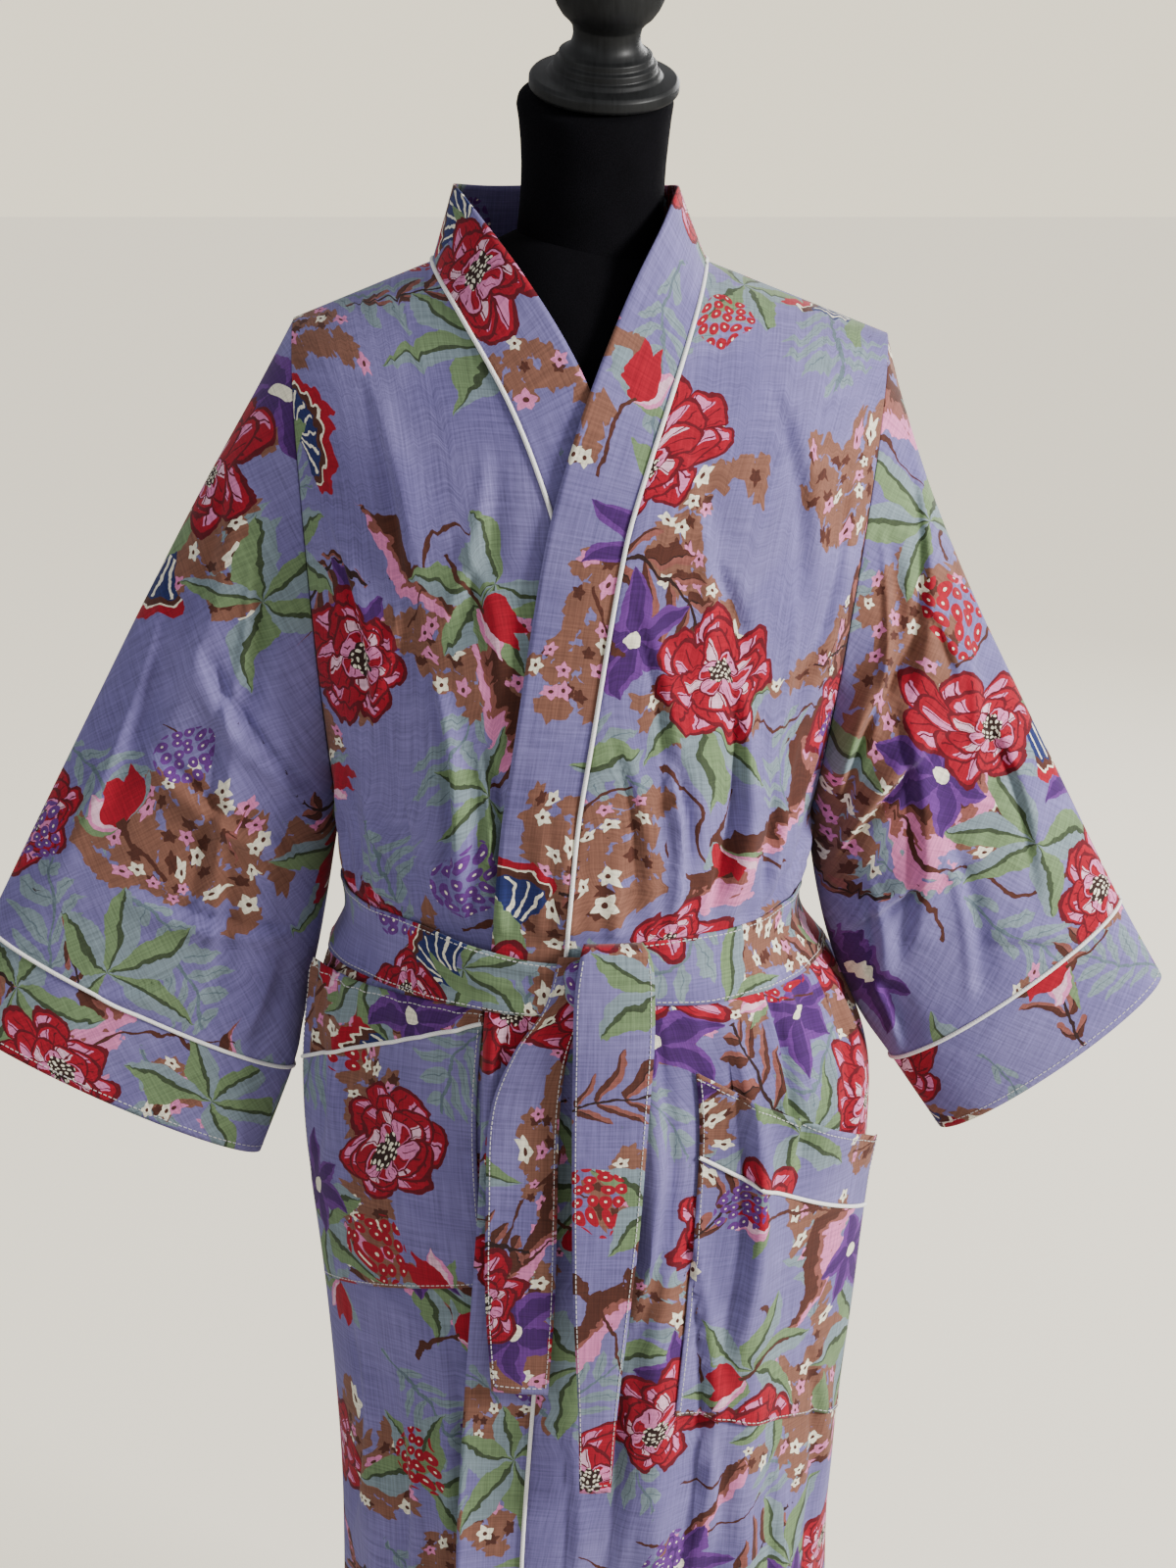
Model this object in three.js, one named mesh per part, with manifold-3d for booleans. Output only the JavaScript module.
// Kimono robe with a tie belt, shown on a limbless dress form that stands on a round base.
// Millimetres, +Z up. The robe faces -Y and +X is the wearer's left. The origin is the middle of
// the base's flat underside. Every cloth piece is a thin closed wall with the garment's own shape.
import * as THREE from 'three';
import Module from 'manifold-3d';
import { mergeVertices } from 'three/addons/utils/BufferGeometryUtils.js';

// Driving sizes
const WALL = 1.6;             // cloth wall
const SEAM = 0.4;             // space between two pieces that are sewn together
const HEM = 160;              // height of the robe's hem
const UNDERARM = 985;         // height where the sleeve leaves the side seam
const RIDGE_Y = 5;            // depth place of the shoulder seam
const LAP = 5.8;              // the over front lies this far in front of the under front
const BELT_HEIGHT = 910;
const BELT_WIDTH = 54;
const BAND_WIDTH = 56;        // band that runs from hem to hem round the neck
const PIPING = 3;             // diameter of the cream cord in the seams
const PIPED = PIPING + 2 * 0.35;   // space between two pieces with that cord between them
const NECK_LEFT = 85;         // the two ends of the shoulder seams beside the neck
const NECK_RIGHT = -112;
const CENTRE_BACK_X = -14;
const BASE_RADIUS = 160;
const FORM_BOTTOM = 640;

const X = new THREE.Vector3(1, 0, 0);
const Y = new THREE.Vector3(0, 1, 0);

// Half-widths and depths of the body cloth, one row for each height
const BODY = [
  { z: 1450, left: 232, right: 232, front: 135, back: 104 },
  { z: 1230, left: 230, right: 228, front: 136, back: 107 },
  { z: 1134, left: 220, right: 212, front: 138, back: 108 },
  { z: 1060, left: 204, right: 190, front: 140, back: 104 },
  { z: 985, left: 190, right: 168, front: 143, back: 98 },
  { z: 940, left: 187, right: 163, front: 146, back: 95 },
  { z: 910, left: 186, right: 162, front: 147, back: 94 },
  { z: 875, left: 202, right: 187, front: 145, back: 99 },
  { z: 800, left: 221, right: 217, front: 136, back: 113 },
  { z: 730, left: 225, right: 222, front: 132, back: 118 },
  { z: 610, left: 215, right: 218, front: 131, back: 120 },
  { z: 500, left: 208, right: 208, front: 131, back: 121 },
  { z: 390, left: 205, right: 200, front: 129, back: 121 },
  { z: 160, left: 210, right: 204, front: 128, back: 122 },
];

// Height of the shoulder line, and how far down the cloth rolls over it in front and behind
const SHOULDER = [
  { x: -232, ridge: 1352, front: 78, back: 78 },
  { x: -212, ridge: 1360, front: 82, back: 80 },
  { x: -112, ridge: 1400, front: 190, back: 104 },
  { x: -14, ridge: 1438, front: 228, back: 115 },
  { x: 85, ridge: 1400, front: 190, back: 104 },
  { x: 216, ridge: 1349, front: 82, back: 80 },
  { x: 232, ridge: 1343, front: 78, back: 78 },
];

// Seam between each front and its band: the over front is the wearer's left
const SEAM_LINE = [
  { z: 1400, over: 85, under: -112 },
  { z: 1371, over: 76, under: -90 },
  { z: 1321, over: 58, under: -58 },
  { z: 1271, over: 41, under: -36 },
  { z: 1221, over: 27, under: -21 },
  { z: 1080, over: 4, under: 0 },
  { z: 1014, over: -6, under: 8 },
  { z: 932, over: -13, under: 14 },
  { z: 870, over: -19, under: 18 },
  { z: 723, over: -26, under: 24 },
  { z: 518, over: -42, under: 34 },
  { z: 392, over: -50, under: 40 },
  { z: 160, over: -56, under: 48 },
];

// The band's free edge against its seam, by the distance along the seam from the centre back.
// Low on the front the band lies on the body, so its depth comes from the body there.
const BAND_EDGE = {
  over: [
    { along: 0, dx: -4, dy: -6, dz: 55 },
    { along: 70, dx: -9, dy: -9, dz: 54 },
    { along: 130, dx: -19, dy: -3, dz: 52 },
    { along: 200, dx: -26, dy: 6, dz: 48 },
    { along: 262, dx: -42, dy: 5, dz: 37 },
    { along: 322, dx: -51, dy: 0, dz: 23 },
    { along: 380, dx: -55, dy: 0, dz: 12 },
    { along: 520, dx: -56, dy: 0, dz: 3 },
    { along: 640, dx: -56, dy: 0, dz: 0 },
    { along: 1050, dx: -54, dy: -8, dz: 0 },
    { along: 1450, dx: -42, dy: -30, dz: 0 },
  ],
  under: [
    { along: 0, dx: -4, dy: -6, dz: 55 },
    { along: 70, dx: 6, dy: -9, dz: 55 },
    { along: 130, dx: 15, dy: -4, dz: 53 },
    { along: 200, dx: 27, dy: 6, dz: 48 },
    { along: 262, dx: 41, dy: 4, dz: 38 },
    { along: 322, dx: 50, dy: 0, dz: 25 },
    { along: 380, dx: 54, dy: 0, dz: 14 },
    { along: 520, dx: 56, dy: 0, dz: 4 },
    { along: 640, dx: 56, dy: 0, dz: 0 },
    { along: 1450, dx: 56, dy: 0, dz: 0 },
  ],
};

// The largest folds. angle runs round the body from the front, drift is its turn by the hem,
// wide its half-width in degrees, out its height, high and low its ends and fade their lengths.
const FOLDS = {
  over: [
    { angle: 13, drift: 2, wide: 4.6, out: 13, high: 878, low: -200, fadeHigh: 130, fadeLow: 60 },
    { angle: 33, drift: 3, wide: 6, out: 11, high: 875, low: -200, fadeHigh: 240, fadeLow: 60 },
    { angle: 57, drift: -5, wide: 8, out: 9, high: 500, low: -200, fadeHigh: 160, fadeLow: 60 },
    { angle: 24, drift: 0, wide: 5.5, out: 8, high: 1150, low: 936, fadeHigh: 120, fadeLow: 40 },
    { angle: 41, drift: 0, wide: 5, out: 9, high: 1100, low: 936, fadeHigh: 110, fadeLow: 40 },
    { angle: 58, drift: 0, wide: 6, out: 8, high: 1060, low: 936, fadeHigh: 80, fadeLow: 40 },
  ],
  under: [
    { angle: -31, drift: 4, wide: 7, out: 9, high: 600, low: -200, fadeHigh: 180, fadeLow: 60 },
    { angle: -58, drift: 5, wide: 8, out: 9, high: 560, low: -200, fadeHigh: 200, fadeLow: 60 },
    { angle: -72, drift: 0, wide: 6, out: 7, high: 1080, low: 936, fadeHigh: 80, fadeLow: 40 },
    { angle: -52, drift: 0, wide: 5.5, out: 9, high: 1120, low: 936, fadeHigh: 120, fadeLow: 40 },
    { angle: -35, drift: 0, wide: 5, out: 7, high: 1100, low: 936, fadeHigh: 110, fadeLow: 40 },
  ],
  back: [
    { angle: 112, drift: -4, wide: 7, out: 11, high: 878, low: -200, fadeHigh: 190, fadeLow: 60 },
    { angle: 139, drift: 3, wide: 8, out: 13, high: 878, low: -200, fadeHigh: 150, fadeLow: 60 },
    { angle: 171, drift: -5, wide: 8, out: 10, high: 878, low: -200, fadeHigh: 220, fadeLow: 60 },
    { angle: 203, drift: 5, wide: 8, out: 13, high: 878, low: -200, fadeHigh: 150, fadeLow: 60 },
    { angle: 237, drift: 3, wide: 8, out: 11, high: 878, low: -200, fadeHigh: 200, fadeLow: 60 },
    { angle: 126, drift: 0, wide: 7, out: 8, high: 1120, low: 936, fadeHigh: 130, fadeLow: 40 },
    { angle: 160, drift: 0, wide: 8, out: 9, high: 1150, low: 936, fadeHigh: 150, fadeLow: 40 },
    { angle: 196, drift: 0, wide: 8, out: 9, high: 1130, low: 936, fadeHigh: 140, fadeLow: 40 },
    { angle: 231, drift: 0, wide: 7, out: 8, high: 1110, low: 936, fadeHigh: 120, fadeLow: 40 },
  ],
};

// Sleeve sections from the armhole to the cuff's edge. out and in are the two side edges of the
// flat sleeve as distances from the centre, mid and deep its depth place and half-depth, and free
// says how far a section has left the armhole's shape.
const SLEEVE_RIGHT = [
  { outX: 212, outZ: 1360, inX: 190, inZ: 985, mid: 0, deep: 55, free: 0 },
  { outX: 241, outZ: 1309, inX: 195, inZ: 956, mid: -2, deep: 56, free: 0.3 },
  { outX: 285, outZ: 1234, inX: 201, inZ: 921, mid: -5, deep: 55, free: 0.65 },
  { outX: 329, outZ: 1154, inX: 208, inZ: 884, mid: -8, deep: 51, free: 0.9 },
  { outX: 366, outZ: 1084, inX: 216, inZ: 849, mid: -10, deep: 47, free: 1 },
  { outX: 415, outZ: 991, inX: 223, inZ: 815, mid: -12, deep: 43, free: 1 },
  { outX: 462, outZ: 901, inX: 231, inZ: 781, mid: -13, deep: 39, free: 1 },
  { outX: 501, outZ: 828, inX: 260, inZ: 706, mid: -14, deep: 35, free: 1 },
];
const SLEEVE_LEFT = [
  { outX: 216, outZ: 1349, inX: 168, inZ: 985, mid: 0, deep: 55, free: 0 },
  { outX: 228, outZ: 1305, inX: 171, inZ: 957, mid: -2, deep: 56, free: 0.3 },
  { outX: 252, outZ: 1236, inX: 177, inZ: 922, mid: -5, deep: 56, free: 0.65 },
  { outX: 283, outZ: 1164, inX: 186, inZ: 886, mid: -9, deep: 54, free: 0.9 },
  { outX: 321, outZ: 1088, inX: 198, inZ: 853, mid: -12, deep: 51, free: 1 },
  { outX: 362, outZ: 1009, inX: 215, inZ: 821, mid: -14, deep: 47, free: 1 },
  { outX: 407, outZ: 922, inX: 236, inZ: 791, mid: -16, deep: 43, free: 1 },
  { outX: 444, outZ: 858, inX: 277, inZ: 730, mid: -18, deep: 39, free: 1 },
];
const CUFF_ROW = 6;           // the cuff is sewn on at this section

// Patch pockets: the columns of their front that they span, heights at the inner and the outer
// edge, the sag of the top, how far it gapes in the middle and how far its outer corner flares
const POCKETS = {
  right: {
    columns: [4, 12],
    bottom: [646, 606],
    seam: [868, 796],
    top: [880, 881],
    sag: 0,
    gape: 1,
    flare: 14,
  },
  left: {
    columns: [4, 12],
    bottom: [541, 486],
    seam: [758, 668],
    top: [829, 730],
    sag: 10,
    gape: 15,
    flare: 2,
  },
};

// Belt tails, a row for each height: both edges and how far they hang in front of the body
const TAIL_LOW = [
  { z: 928, left: -20, right: 16, out: 6.9 },
  { z: 888, left: -30, right: -2, out: 6.9 },
  { z: 850, left: -52, right: -14, out: 7.5 },
  { z: 800, left: -69, right: -20, out: 9 },
  { z: 720, left: -73, right: -22, out: 10 },
  { z: 640, left: -74, right: -24, out: 12 },
  { z: 565, left: -70, right: -29, out: 13 },
];
const TAIL_TOP = [
  { z: 939, left: -3, right: 36, out: 8 },
  { z: 937, left: -4, right: 38, out: 14 },
  { z: 925, left: -6, right: 41, out: 16.5 },
  { z: 900, left: -9, right: 43, out: 16.9 },
  { z: 860, left: -10, right: 44, out: 18 },
  { z: 790, left: -11, right: 41, out: 19.5 },
  { z: 710, left: -11, right: 36, out: 20.5 },
  { z: 640, left: -10, right: 29, out: 21.5 },
  { z: 560, left: -7, right: 21, out: 23 },
  { z: 487, left: -6, right: 16, out: 24 },
];

const mix = (from, to, part) => from + (to - from) * part;
const radians = THREE.MathUtils.degToRad;
const degrees = THREE.MathUtils.radToDeg;
const smooth = (value, from, to) => {
  const part = THREE.MathUtils.clamp((value - from) / (to - from), 0, 1);
  return part * part * (3 - 2 * part);
};

const SEAM_CALM = 12;         // degrees over which a fold dies out beside a side seam

// A table read as a smooth curve: look up a column at any value of the key
function curve(rows, key) {
  const sorted = [...rows].sort((one, two) => one[key] - two[key]);
  const last = sorted.length - 1;
  const slope = (row, column) => {
    const before = sorted[Math.max(row - 1, 0)];
    const after = sorted[Math.min(row + 1, last)];
    return (after[column] - before[column]) / (after[key] - before[key]);
  };
  return (value, column) => {
    const at = THREE.MathUtils.clamp(value, sorted[0][key], sorted[last][key]);
    let row = 0;
    while (row < last - 1 && at > sorted[row + 1][key]) row += 1;
    const span = sorted[row + 1][key] - sorted[row][key];
    const part = (at - sorted[row][key]) / span;
    const rise = (3 - 2 * part) * part * part;
    return mix(sorted[row][column], sorted[row + 1][column], rise)
      + span * part * (1 - part) * ((1 - part) * slope(row, column) - part * slope(row + 1, column));
  };
}

const body = curve(BODY, 'z');
const shoulder = curve(SHOULDER, 'x');
const seamLine = curve(SEAM_LINE, 'z');

const halfWidth = (z, side) => body(z, side < 0 ? 'left' : 'right');
const armTable = (side) => (side < 0 ? SLEEVE_RIGHT : SLEEVE_LEFT);

// The armhole lies in a plane that leans a little: its distance from the centre at a height
function armholeX(z, side) {
  const [top] = armTable(side);
  return mix(top.inX, top.outX, (z - top.inZ) / (top.outZ - top.inZ));
}

// Angle of the side seam or the armhole's edge, measured from the front or from the back
function sideAngle(z, side) {
  if (z <= UNDERARM) return 90;
  const reach = (armholeX(z, side) - SEAM / 2) / halfWidth(z, side);
  return degrees(Math.asin(Math.min(reach, 1)));
}

function seamAngle(z, layer) {
  const x = seamLine(z, layer);
  return degrees(Math.asin(x / halfWidth(z, x)));
}

// Cloth on the body: angle 0 is the front, 90 the wearer's left and 180 the back
function bodyPoint(angle, z, out = 0) {
  const sine = Math.sin(radians(angle));
  const cosine = Math.cos(radians(angle));
  const face = cosine > 0 ? 'front' : 'back';
  const half = halfWidth(z, sine);
  const deep = body(z, face);
  const x = half * sine;
  const drop = (shoulder(x, 'ridge') - z) / shoulder(x, face);
  const rolled = drop < 1 ? Math.sqrt(Math.max(1 - (1 - drop) ** 2, 0)) : 1;
  const normal = new THREE.Vector3(deep * sine, -half * cosine, 0).normalize();
  const point = new THREE.Vector3(x, mix(RIDGE_Y, -deep * cosine, rolled), z);
  return point.addScaledVector(normal, out * rolled);
}

function foldHeight(layer, angle, z) {
  let height = 0;
  for (const fold of FOLDS[layer]) {
    const centre = fold.angle + fold.drift * THREE.MathUtils.clamp((880 - z) / (880 - HEM), 0, 1);
    const ends = smooth(z, fold.high, fold.high - fold.fadeHigh)
      * smooth(z, fold.low, fold.low + fold.fadeLow);
    height += fold.out * ends * Math.exp(-(((angle - centre) / fold.wide) ** 2));
  }
  const fromFace = Math.cos(radians(angle)) > 0 ? Math.abs(angle) : Math.abs(180 - angle);
  const room = sideAngle(z, Math.sin(radians(angle))) - fromFace;
  return height * smooth(room, 0, SEAM_CALM);
}

// How far a layer lies out from the body's own form
function layerOut(layer, angle, z) {
  let out = foldHeight(layer, angle, z);
  if (layer === 'over') out += LAP * smooth(angle, 62, 38) * smooth(z, 1385, 1320);
  if (layer === 'under') out *= smooth(angle, -4, -18);
  return out;
}

// Rows of a body panel: first round the shoulder, then down to the hem
const ROLL_STEPS = 4;
const ROW_HEIGHTS = [1192, 1134, 1070, 1024, UNDERARM, 937, 910, 883, 846, 800, 740, 670, 590, 500,
  410, 320, 240, HEM];

// One column of a panel at the place part between two edges that are functions of height
function panelColumn(layer, face, edges, part, start) {
  const at = (z) => mix(edges[0](z), edges[1](z), part);
  const points = [];
  for (let step = 0; step <= ROLL_STEPS; step += 1) {
    const roll = mix(start, Math.PI / 2, step / ROLL_STEPS);
    let z = 1380;
    for (let pass = 0; pass < 8; pass += 1) {
      const { x } = bodyPoint(at(z), z);
      z = shoulder(x, 'ridge') - shoulder(x, face) * (1 - Math.cos(roll));
    }
    points.push(bodyPoint(at(z), z, layerOut(layer, at(z), z)));
  }
  for (const z of ROW_HEIGHTS) points.push(bodyPoint(at(z), z, layerOut(layer, at(z), z)));
  return points;
}

function centreOf(points) {
  const sum = points.reduce((total, point) => total.add(point), new THREE.Vector3());
  return sum.divideScalar(points.length);
}

// A closed wall from a grid of outer points. flat holds, for an edge of the grid, a direction
// that the wall's thickness may not lean along there, so that two sewn pieces meet edge to edge.
function wall(grid, { closed = false, flat = {} } = {}) {
  const rows = grid.length;
  const columns = grid[0].length;
  const neighbour = (row, column) => {
    const wrapped = closed ? (column + columns) % columns : THREE.MathUtils.clamp(column, 0, columns - 1);
    return grid[THREE.MathUtils.clamp(row, 0, rows - 1)][wrapped];
  };
  const normals = [];
  let facing = 0;
  for (let row = 0; row < rows; row += 1) {
    const middle = new THREE.Vector3(0, 0, grid[row][0].z);
    if (closed) middle.copy(centreOf(grid[row]));
    for (let column = 0; column < columns; column += 1) {
      const across = neighbour(row, column + 1).clone().sub(neighbour(row, column - 1));
      const down = neighbour(row + 1, column).clone().sub(neighbour(row - 1, column));
      const normal = across.cross(down).normalize();
      facing += normal.dot(grid[row][column].clone().sub(middle).normalize());
      const borders = [];
      if (row === 0 && flat.top) borders.push(flat.top);
      if (column === 0 && flat.first) borders.push(flat.first);
      if (column === columns - 1 && flat.last) borders.push(flat.last);
      for (const direction of borders) normal.addScaledVector(direction, -normal.dot(direction)).normalize();
      normals.push(normal);
    }
  }
  const outer = grid.flat();
  const inner = outer.map((point, place) => (
    point.clone().addScaledVector(normals[place], -WALL * Math.sign(facing))));
  const positions = [...outer, ...inner].flatMap((point) => point.toArray());
  const index = (row, column, layer) => layer * rows * columns + row * columns + (column % columns);
  const faces = [];
  const quad = (a, b, c, d) => faces.push(a, b, c, a, c, d);
  const spans = closed ? columns : columns - 1;
  for (let row = 0; row < rows - 1; row += 1) {
    for (let column = 0; column < spans; column += 1) {
      quad(index(row, column, 0), index(row, column + 1, 0), index(row + 1, column + 1, 0),
        index(row + 1, column, 0));
      quad(index(row, column, 1), index(row + 1, column, 1), index(row + 1, column + 1, 1),
        index(row, column + 1, 1));
    }
    if (!closed) {
      const end = columns - 1;
      quad(index(row, 0, 0), index(row + 1, 0, 0), index(row + 1, 0, 1), index(row, 0, 1));
      quad(index(row, end, 0), index(row, end, 1), index(row + 1, end, 1), index(row + 1, end, 0));
    }
  }
  const end = rows - 1;
  for (let column = 0; column < spans; column += 1) {
    quad(index(0, column, 0), index(0, column, 1), index(0, column + 1, 1), index(0, column + 1, 0));
    quad(index(end, column, 0), index(end, column + 1, 0), index(end, column + 1, 1), index(end, column, 1));
  }
  return solid(positions, faces);
}

// The line of a cord that lies between the outer edges of two pieces, a little proud of them.
// Its outside faces away from centre, or from the body's axis where no centre is given.
const PROUD = -0.2;
function cordLine(edge, other, centre) {
  return edge.map((point, step) => {
    const middle = point.clone().lerp(other[step], 0.5);
    const along = edge[Math.min(step + 1, edge.length - 1)].clone().sub(edge[Math.max(step - 1, 0)]);
    const normal = other[step].clone().sub(point).cross(along).normalize();
    const outward = middle.clone().sub(centre ?? new THREE.Vector3(0, 0, middle.z));
    return middle.addScaledVector(normal, PROUD * Math.sign(normal.dot(outward)));
  });
}

// A round cord through points. A closed cord joins its last point to its first.
function cord(points, { sides = 6, closed = false } = {}) {
  const count = points.length;
  const positions = [];
  for (let step = 0; step < count; step += 1) {
    const before = points[closed ? (step + count - 1) % count : Math.max(step - 1, 0)];
    const after = points[closed ? (step + 1) % count : Math.min(step + 1, count - 1)];
    const tangent = after.clone().sub(before).normalize();
    const first = Y.clone().addScaledVector(tangent, -tangent.y);
    if (first.length() < 0.2) first.copy(X).addScaledVector(tangent, -tangent.x);
    first.normalize();
    const second = tangent.clone().cross(first);
    for (let side = 0; side < sides; side += 1) {
      const turn = (2 * Math.PI * (side + 0.5)) / sides;
      const point = points[step].clone()
        .addScaledVector(first, (PIPING / 2) * Math.cos(turn))
        .addScaledVector(second, (PIPING / 2) * Math.sin(turn));
      positions.push(point.x, point.y, point.z);
    }
  }
  const faces = [];
  const index = (step, side) => (step % count) * sides + (side % sides);
  for (let step = 0; step < (closed ? count : count - 1); step += 1) {
    for (let side = 0; side < sides; side += 1) {
      faces.push(index(step, side), index(step, side + 1), index(step + 1, side + 1));
      faces.push(index(step, side), index(step + 1, side + 1), index(step + 1, side));
    }
  }
  for (let side = 1; side < sides - 1 && !closed; side += 1) {
    faces.push(index(0, 0), index(0, side + 1), index(0, side));
    faces.push(index(count - 1, 0), index(count - 1, side), index(count - 1, side + 1));
  }
  return solid(positions, faces);
}

// A geometry with its faces turned outward
function solid(positions, faces) {
  let volume = 0;
  const corner = (face) => new THREE.Vector3().fromArray(positions, faces[face] * 3);
  for (let face = 0; face < faces.length; face += 3) {
    volume += corner(face).dot(corner(face + 1).cross(corner(face + 2)));
  }
  if (volume < 0) faces.reverse();
  const geometry = new THREE.BufferGeometry();
  geometry.setAttribute('position', new THREE.Float32BufferAttribute(positions, 3));
  geometry.setIndex(faces);
  return geometry;
}

// Turned pieces: a profile of radius and height pairs round the Z axis
function turned(profile, segments = 32) {
  const points = profile.map(([radius, height]) => new THREE.Vector2(radius, height));
  const geometry = new THREE.LatheGeometry(points, segments);
  return geometry.rotateX(Math.PI / 2);
}

const material = (colour, roughness, metalness = 0) => new THREE.MeshStandardMaterial({
  color: new THREE.Color(colour), roughness, metalness, side: THREE.DoubleSide,
});
const cotton = material('#8e8fc0', 0.85);
const whiteCord = material('#ece6d8', 0.8);
const velvet = material('#0b0a0d', 0.95);
const wood = material('#17171a', 0.45);

const robe = new THREE.Group();
function add(name, geometry, skin) {
  const mesh = new THREE.Mesh(geometry, skin);
  mesh.name = name;
  robe.add(mesh);
  return mesh;
}

// Fronts: from the band's seam to the armhole and the side seam
const FRONT_COLUMNS = 14;
function frontGrid(layer, side) {
  const edges = [(z) => seamAngle(z, layer), (z) => side * sideAngle(z, side)];
  const columns = [];
  for (let column = 0; column <= FRONT_COLUMNS; column += 1) {
    const part = column / FRONT_COLUMNS;
    columns.push(panelColumn(layer, 'front', edges, part, 0));
  }
  return gridOf(columns).map((row) => row.map((point) => point.addScaledVector(Y, -SEAM / 2)));
}

// Turns a list of columns into rows
function gridOf(columns) {
  return columns[0].map((unused, row) => columns.map((column) => column[row]));
}

// Back: one panel from armhole to armhole. Each column starts at the shoulder seam or the neckline.
const BACK_COLUMNS = [216, 190, 163, 137, 111, NECK_LEFT, 79, 65, 45, 25, 5, CENTRE_BACK_X, -34, -54,
  -74, -93, -106, NECK_RIGHT, -132, -152, -172, -192, -212];
const NECK_DEPTH = 0.8;       // how deep the back neck is cut, as the sine of the roll there
function backGrid() {
  const edges = [(z) => 180 - sideAngle(z, 1), (z) => 180 + sideAngle(z, -1)];
  const neckHalf = (NECK_LEFT - NECK_RIGHT) / 2;
  const columns = BACK_COLUMNS.map((x) => {
    const across = Math.min(Math.abs(x - (NECK_LEFT - neckHalf)) / neckHalf, 1);
    const start = Math.asin(NECK_DEPTH * Math.sqrt(1 - across ** 2));
    const z = shoulder(x, 'ridge') - shoulder(x, 'back') * (1 - Math.cos(start));
    const angle = 180 - degrees(Math.asin(x / halfWidth(z, x)));
    const part = THREE.MathUtils.clamp((angle - edges[0](z)) / (edges[1](z) - edges[0](z)), 0, 1);
    return panelColumn('back', 'back', edges, part, start);
  });
  return gridOf(columns).map((row) => row.map((point) => point.addScaledVector(Y, SEAM / 2)));
}

const overGrid = frontGrid('over', 1);
const underGrid = frontGrid('under', -1);
const backPanel = backGrid();
add('front_left', wall(overGrid, { flat: { top: Y, last: Y } }), cotton);
add('front_right', wall(underGrid, { flat: { top: Y, last: Y } }), cotton);
add('back', wall(backPanel, { flat: { top: Y, first: Y, last: Y } }), cotton);

// Sleeves: the first section follows the armhole, the others come from the table
const SLEEVE_SIDES = 20;
function armholePoint(turn, side) {
  const [top] = armTable(side);
  const z = mix(top.inZ, top.outZ, (1 + Math.cos(turn)) / 2);
  const from = sideAngle(z, side);
  const angle = Math.sin(turn) > 0 ? from : 180 - from;
  return bodyPoint(side * angle, z);
}

function sleeveSection(row, side, extra = 0) {
  const points = [];
  for (let step = 0; step < SLEEVE_SIDES; step += 1) {
    const turn = (2 * Math.PI * step) / SLEEVE_SIDES;
    const across = (1 + Math.cos(turn)) / 2;
    const x = mix(row.inX, row.outX, across);
    const z = mix(row.inZ, row.outZ, across);
    const hang = row.mid - row.deep * Math.sin(turn);
    const y = mix(armholePoint(turn, side).y, hang, row.free);
    points.push(new THREE.Vector3(side * (x + extra), y, z));
  }
  return points;
}

function between(from, to, part) {
  const row = {};
  for (const key of Object.keys(from)) row[key] = mix(from[key], to[key], part);
  return row;
}

for (const [side, name] of [[-1, 'right'], [1, 'left']]) {
  const table = armTable(side);
  const seam = table[CUFF_ROW];
  const edge = table[CUFF_ROW + 1];
  const long = Math.hypot(edge.outX - seam.outX, edge.outZ - seam.outZ);
  const part = PIPED / long;
  const sleeve = table.slice(0, CUFF_ROW + 1).map((row, place) => (
    sleeveSection(row, side, place === 0 ? SEAM / 2 : 0)));
  add(`sleeve_${name}`, wall(sleeve, { closed: true, flat: { top: X } }), cotton);
  const cuff = [part, 0.5, 1].map((step) => sleeveSection(between(seam, edge, step), side));
  add(`cuff_${name}`, wall(cuff, { closed: true }), cotton);
  const line = cordLine(sleeve.at(-1), cuff[0], centreOf(cuff[0]));
  add(`piping_cuff_${name}`, cord(line, { closed: true }), whiteCord);
}

// Bands: each starts at the centre back, follows the back neck and then the front's seam
function bandSeam(layer) {
  const top = backPanel[0].map((point) => point.clone());
  const middle = BACK_COLUMNS.indexOf(CENTRE_BACK_X);
  const neck = layer === 'over'
    ? top.slice(BACK_COLUMNS.indexOf(NECK_LEFT), middle + 1).reverse()
    : top.slice(middle, BACK_COLUMNS.indexOf(NECK_RIGHT) + 1);
  neck[0].x += layer === 'over' ? SEAM / 2 : -SEAM / 2;
  const front = (layer === 'over' ? overGrid : underGrid).map((row) => row[0].clone());
  return [...neck, ...front.slice(1)];
}

function bandGrid(layer) {
  const line = bandSeam(layer);
  const edge = curve(BAND_EDGE[layer], 'along');
  let along = 0;
  return line.map((point, step) => {
    if (step > 0) along += point.distanceTo(line[step - 1]);
    const toEdge = new THREE.Vector3(edge(along, 'dx'), edge(along, 'dy'), edge(along, 'dz'));
    toEdge.setLength(BAND_WIDTH);
    return [PIPED / BAND_WIDTH, 0.36, 0.68, 1].map((part) => {
      const spot = point.clone().addScaledVector(toEdge, part);
      const angle = degrees(Math.asin(spot.x / halfWidth(spot.z, spot.x)));
      const onBody = bodyPoint(angle, spot.z, layerOut(layer, angle, spot.z)).y + toEdge.y * part * part;
      spot.y = mix(spot.y, onBody - SEAM / 2, smooth(along, 250, 380));
      return spot;
    });
  });
}

for (const [layer, name] of [['over', 'left'], ['under', 'right']]) {
  const grid = bandGrid(layer);
  add(`band_${name}`, wall(grid, { flat: { top: X } }), cotton);
  const line = cordLine(bandSeam(layer), grid.map((row) => row[0]));
  add(`piping_band_${name}`, cord(line), whiteCord);
}

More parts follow.
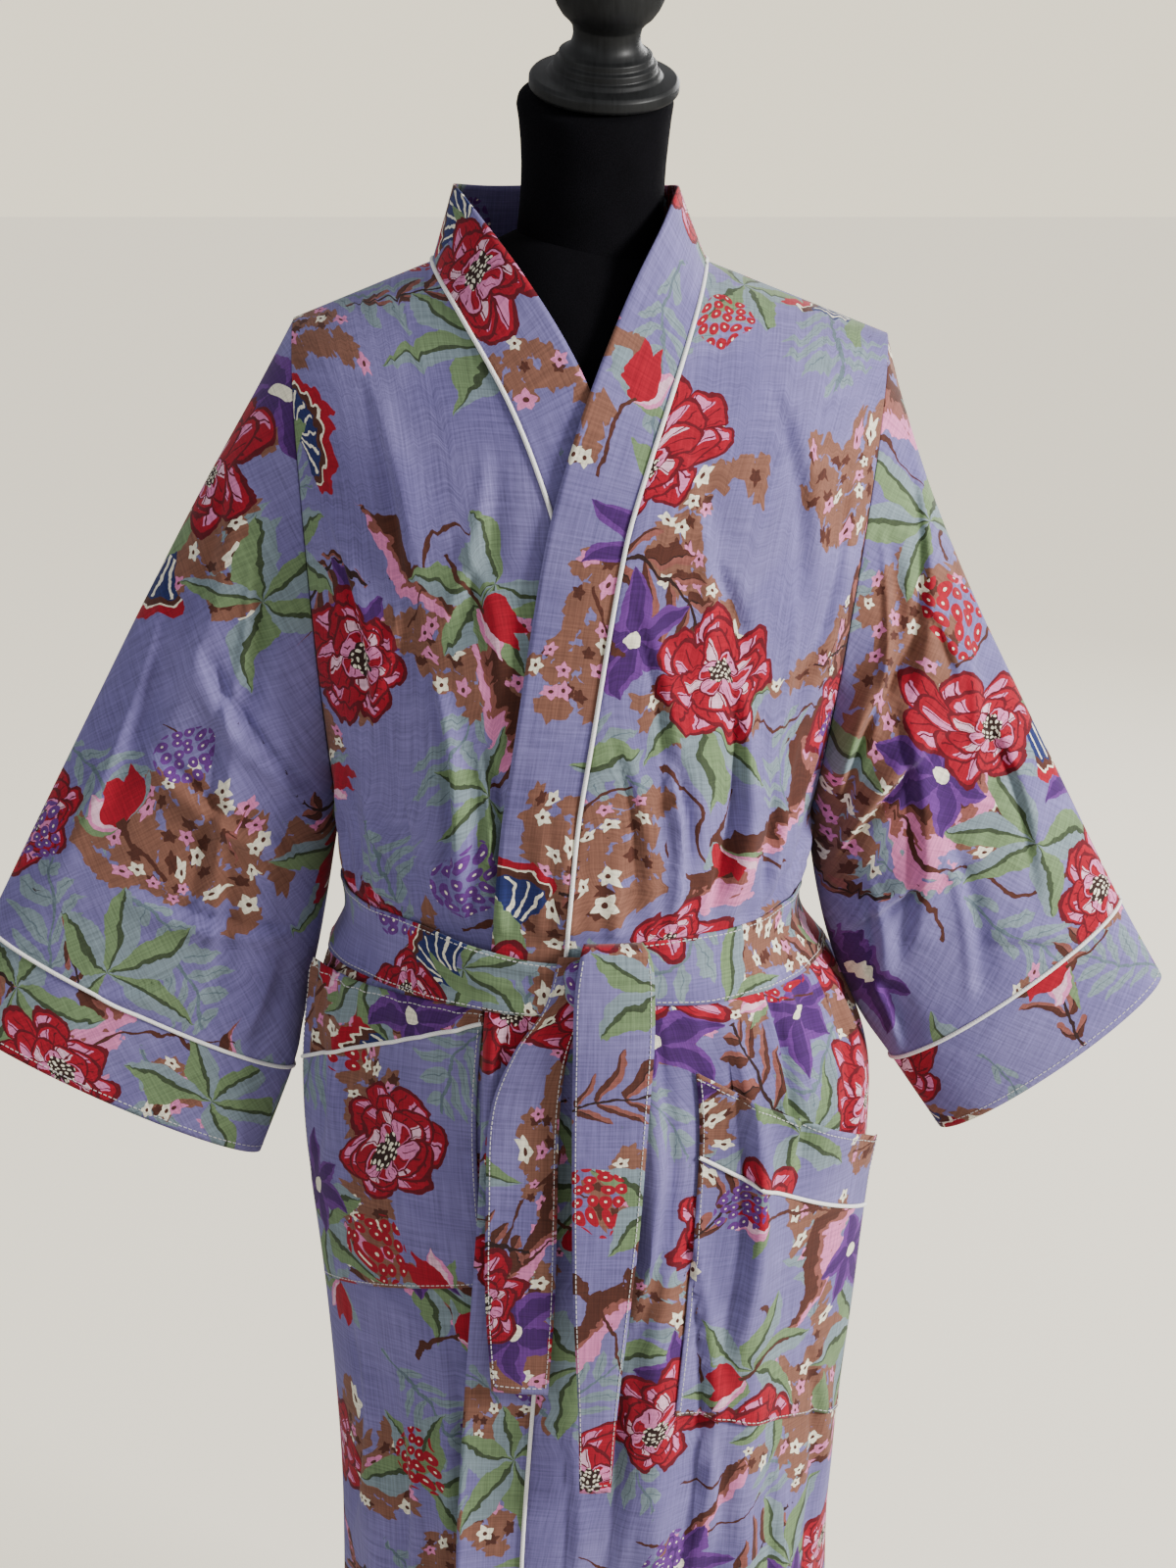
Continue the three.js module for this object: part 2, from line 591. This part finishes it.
// Patch pockets with a wide top band, each laid on its front
function onPanel(grid, column, z, out) {
  let row = 0;
  while (row < grid.length - 2 && grid[row + 1][column].z > z) row += 1;
  const [above, below] = [grid[row][column], grid[row + 1][column]];
  const point = above.clone().lerp(below, (above.z - z) / (above.z - below.z));
  const across = grid[row][Math.min(column + 1, FRONT_COLUMNS)].clone().sub(grid[row][column - 1]);
  const normal = new THREE.Vector3(across.y, -across.x, 0).normalize();
  return point.addScaledVector(normal, out * (normal.dot(point) > 0 ? 1 : -1));
}

function pocketGrid(pocket, panel, lowEdge, highEdge, steps) {
  const [inner, outer] = pocket.columns;
  const grid = [];
  for (let up = steps; up >= 0; up -= 1) {
    const row = [];
    for (let column = inner; column <= outer; column += 1) {
      const part = (column - inner) / (outer - inner);
      const belly = Math.sin(Math.PI * part);
      const level = (edge) => mix(pocket[edge][0], pocket[edge][1], part)
        - (edge === 'bottom' ? 0 : pocket.sag * belly);
      const z = mix(lowEdge(level), highEdge(level), up / steps);
      const height = (z - level('bottom')) / (level('top') - level('bottom'));
      const open = Math.max(height, 0) ** 4;
      const out = POCKET_OUT + belly * (0.8 + pocket.gape * open) + pocket.flare * open * part ** 3;
      row.push(onPanel(panel, column, z, out));
    }
    grid.push(row);
  }
  return grid;
}

const POCKET_OUT = 2.5;
for (const [name, panel] of [['left', overGrid], ['right', underGrid]]) {
  const pocket = POCKETS[name];
  const bag = pocketGrid(pocket, panel, (level) => level('bottom'), (level) => level('seam') - PIPED / 2, 6);
  const band = pocketGrid(pocket, panel, (level) => level('seam') + PIPED / 2, (level) => level('top'), 2);
  add(`pocket_${name}`, wall(bag), cotton);
  add(`pocket_band_${name}`, wall(band), cotton);
  add(`piping_pocket_${name}`, cord(cordLine(bag[0], band.at(-1))), whiteCord);
}

// Belt round the waist, its knot and its two tails
const BELT_STEPS = 44;        // spans round the belt
const BELT_OUT = 2.9;
const BELT_CORD_ANGLE = -6;   // the belt rises a little over the band's piping here
function beltLayer(angle) {
  const lap = angle > 0 ? smooth(angle, 66, 42) : smooth(-angle, 50, 26);
  const overCord = 1.4 * smooth(Math.abs(angle - BELT_CORD_ANGLE), 24, 9);
  return LAP * lap + BELT_OUT + overCord;
}
const beltGrid = [];
for (const edge of [1, 0, -1]) {
  const row = [];
  for (let step = 0; step < BELT_STEPS; step += 1) {
    const angle = -180 + (360 * step) / BELT_STEPS;
    const z = BELT_HEIGHT + (edge * BELT_WIDTH) / 2;
    row.push(bodyPoint(angle, z, beltLayer(angle)));
  }
  beltGrid.push(row);
}
add('belt', wall(beltGrid, { closed: true }), cotton);

function tailGrid(rows, columns = 2) {
  return rows.map((row) => {
    const points = [];
    for (let column = 0; column <= columns; column += 1) {
      const x = mix(row.left, row.right, column / columns);
      const angle = degrees(Math.asin(x / halfWidth(row.z, x)));
      points.push(bodyPoint(angle, row.z, LAP + row.out));
    }
    return points;
  });
}
add('belt_tail_low', wall(tailGrid(TAIL_LOW)), cotton);
add('belt_tail_top', wall(tailGrid(TAIL_TOP)), cotton);

// The knot is a soft lump on the belt, behind the upper tail
const KNOT = { x: -2, y: -159.5, z: 909, wide: 34, deep: 7, tall: 40 };
const knot = new THREE.SphereGeometry(0.5, 16, 10);
knot.scale(KNOT.wide, KNOT.deep, KNOT.tall);
add('belt_knot', knot, cotton).position.set(KNOT.x, KNOT.y - KNOT.deep / 2, KNOT.z);

// Dress form: torso under the cloth, joined to its neck
const wasm = await Module();
wasm.setup();
function manifold(geometry) {
  const bare = geometry.index ? geometry.clone() : geometry;
  bare.deleteAttribute('normal');
  bare.deleteAttribute('uv');
  const merged = mergeVertices(bare, 1e-3);
  const corners = merged.index.array;
  const triVerts = [];
  for (let face = 0; face < corners.length; face += 3) {
    const [a, b, c] = corners.slice(face, face + 3);
    if (a !== b && b !== c && c !== a) triVerts.push(a, b, c);
  }
  return new wasm.Manifold(new wasm.Mesh({
    numProp: 3,
    vertProperties: merged.attributes.position.array,
    triVerts: new Uint32Array(triVerts),
  }));
}
function fromManifold(shape) {
  const mesh = shape.getMesh();
  return solid([...mesh.vertProperties], [...mesh.triVerts]);
}

const FORM_ROWS = [1192, 1120, 1040, 970, 910, 870, 790, 720, FORM_BOTTOM];
const FORM_COLUMNS = 18;
function formGeometry() {
  const face = (layer, edges) => {
    const columns = [];
    for (let column = 0; column <= FORM_COLUMNS; column += 1) {
      const at = (z) => mix(edges[0](z), edges[1](z), column / FORM_COLUMNS);
      const points = [];
      for (let step = 0; step <= ROLL_STEPS; step += 1) {
        const roll = (Math.PI / 2) * (step / ROLL_STEPS);
        let z = 1380;
        for (let pass = 0; pass < 8; pass += 1) {
          const { x } = bodyPoint(at(z), z);
          z = shoulder(x, 'ridge') - shoulder(x, layer) * (1 - Math.cos(roll));
        }
        const { x } = bodyPoint(at(z), z);
        const top = mix(7, 2.2, smooth(Math.abs(x - CENTRE_BACK_X), 95, 125));
        const sunk = mix(top, 8, step / ROLL_STEPS);
        const point = bodyPoint(at(z), z, -sunk * Math.sin(roll));
        point.z -= sunk * Math.cos(roll);
        points.push(point);
      }
      for (const z of FORM_ROWS) points.push(bodyPoint(at(z), z, -9));
      columns.push(points);
    }
    return gridOf(columns);
  };
  const shrink = 4;
  const side = (z, hand) => {
    if (z <= UNDERARM) return 90;
    return degrees(Math.asin((armholeX(z, hand) - shrink) / halfWidth(z, hand)));
  };
  const front = face('front', [(z) => -side(z, -1), (z) => side(z, 1)]);
  const back = face('back', [(z) => 180 - side(z, 1), (z) => 180 + side(z, -1)]);
  back[0] = [...front[0]].reverse();
  const loops = front.map((row, place) => [...row, ...back[place]]);
  const around = loops[0].length;
  const positions = loops.flat().flatMap((point) => [point.x, point.y, point.z]);
  const faces = [];
  for (let row = 0; row < loops.length - 1; row += 1) {
    for (let step = 0; step < around; step += 1) {
      const next = (step + 1) % around;
      const [a, b] = [row * around + step, row * around + next];
      const pinched = row === 0 && step % (FORM_COLUMNS + 1) === FORM_COLUMNS;
      if (!pinched) faces.push(a, b, b + around);
      faces.push(a, b + around, a + around);
    }
  }
  const centre = positions.length / 3;
  positions.push(0, 0, FORM_BOTTOM);
  const last = (loops.length - 1) * around;
  for (let step = 0; step < around; step += 1) {
    faces.push(last + step, last + ((step + 1) % around), centre);
  }
  return solid(positions, faces);
}

const NECK = { x: 0, topX: 5, y: 4, tilt: 17, lean: 3 };
const CAP = { x: 11, y: 0, z: 1519 };
const neckProfile = [[0, 1300], [62, 1300], [60, 1372], [55, 1400], [51.5, 1440], [51.5, 1470],
  [54, 1500], [55.5, 1510], [54.5, 1515], [50, 1517.3], [0, 1517.3]];
const neck = turned(neckProfile, 32);
const shear = neck.attributes.position;
for (let vertex = 0; vertex < shear.count; vertex += 1) {
  const z = shear.getZ(vertex);
  const share = smooth(z, 1372, 1506);
  const slope = Math.tan(radians(NECK.tilt));
  shear.setZ(vertex, z + share * (slope * shear.getY(vertex)));
  shear.setX(vertex, shear.getX(vertex) + mix(NECK.x, NECK.topX, share));
  shear.setY(vertex, shear.getY(vertex) + NECK.y);
}
add('form_body', fromManifold(manifold(formGeometry()).add(manifold(solid(
  [...shear.array], [...neck.index.array],
)))), velvet);

const capProfile = [[0, 0], [51, 0], [53, 2.5], [53, 8.5], [51, 11], [41, 12], [39, 15], [36.5, 16],
  [36.5, 21], [33, 22.5], [33, 27], [29, 28.5], [25, 33], [23.5, 40], [24.5, 46], [32, 54], [38.5, 66],
  [40.5, 80], [38, 95], [30, 107], [17, 115], [0, 118]];
const cap = add('neck_cap', turned(capProfile, 32), wood);
cap.position.set(CAP.x, CAP.y, CAP.z);
cap.rotation.set(radians(NECK.tilt), radians(NECK.lean), 0);

const POLE_RADIUS = 13;
const BASE_THICK = 20;
add('pole', turned([[0, BASE_THICK + 0.3], [POLE_RADIUS, BASE_THICK + 0.3],
  [POLE_RADIUS, FORM_BOTTOM - 0.3], [0, FORM_BOTTOM - 0.3]], 20), wood);
add('base', turned([[0, 0], [BASE_RADIUS - 3, 0], [BASE_RADIUS, 3], [BASE_RADIUS, 12],
  [BASE_RADIUS - 10, BASE_THICK], [0, BASE_THICK]], 40), wood);

export default robe;
